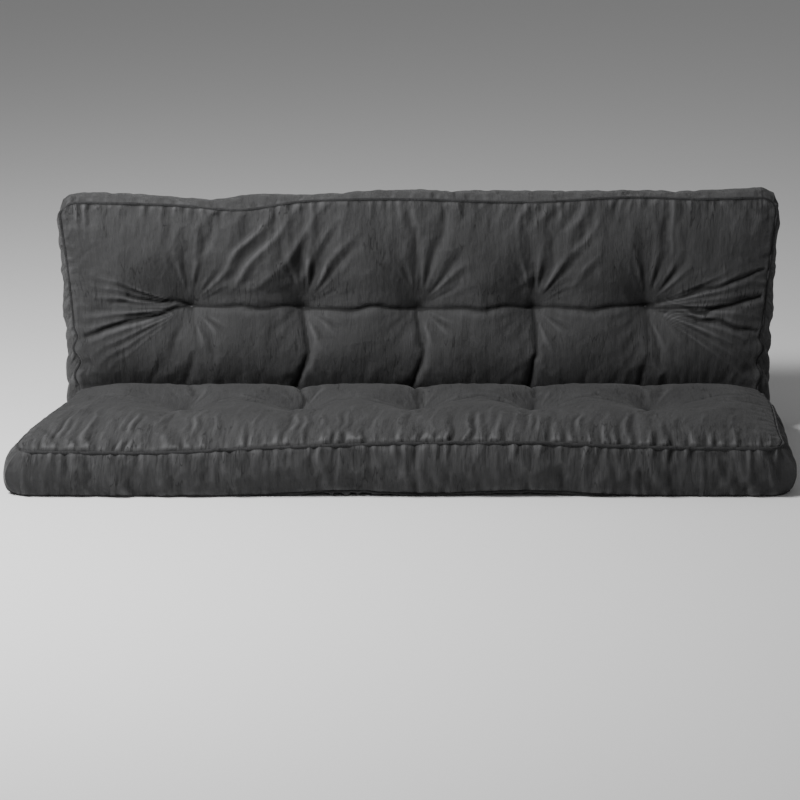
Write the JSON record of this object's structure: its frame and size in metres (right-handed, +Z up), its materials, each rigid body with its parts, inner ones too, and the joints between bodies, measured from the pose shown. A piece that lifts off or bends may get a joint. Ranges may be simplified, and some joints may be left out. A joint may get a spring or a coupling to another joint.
{
  "type": "futon mattress",
  "caption": "Tufted two-seat futon mattress, folded into a seat and a leaning back, that opens out flat as a bed mattress; it rests on a slatted sofa-bed frame.",
  "frame": {"origin": "floor level, at the middle of the folded mattress's outer box", "axes": "+X across the seat to the sitter's left, the front edge of the seat towards -Y, +Z up"},
  "size_m": [2.009, 0.8336, 0.6394],
  "materials": {
    "drill_cloth": "matte",
    "piping_cloth": "matte",
    "cotton_batting": "matte",
    "foam_sheet": "matte",
    "felt_pad": "matte",
    "tufting_cord": "matte"
  },
  "bodies": {
    "seat": {"fold_tuft_knots": "tufting_cord", "fold_tuft_ties": "tufting_cord", "front_border": "drill_cloth", "seat_bottom_batting": "cotton_batting", "seat_bottom_panel": "drill_cloth", "seat_bottom_piping": "piping_cloth", "seat_left_border": "drill_cloth", "seat_lower_foam": "foam_sheet", "seat_middle_felt": "felt_pad", "seat_right_border": "drill_cloth", "seat_top_batting": "cotton_batting", "seat_top_panel": "drill_cloth", "seat_top_piping": "piping_cloth", "seat_tuft_knots": "tufting_cord", "seat_tuft_ties": "tufting_cord", "seat_upper_foam": "foam_sheet"},
    "back": {"back_bottom_batting": "cotton_batting", "back_bottom_panel": "drill_cloth", "back_bottom_piping": "piping_cloth", "back_left_border": "drill_cloth", "back_lower_foam": "foam_sheet", "back_middle_felt": "felt_pad", "back_right_border": "drill_cloth", "back_top_batting": "cotton_batting", "back_top_panel": "drill_cloth", "back_top_piping": "piping_cloth", "back_tuft_knots": "tufting_cord", "back_tuft_ties": "tufting_cord", "back_upper_foam": "foam_sheet", "head_border": "drill_cloth"}
  },
  "joints": [
    {"name": "fold", "type": "hinge", "parent": "seat", "child": "back", "pos_m": [0, 0.28775, 0], "axis": [-1, 0, 0], "range_deg": [0, 78]}
  ]
}
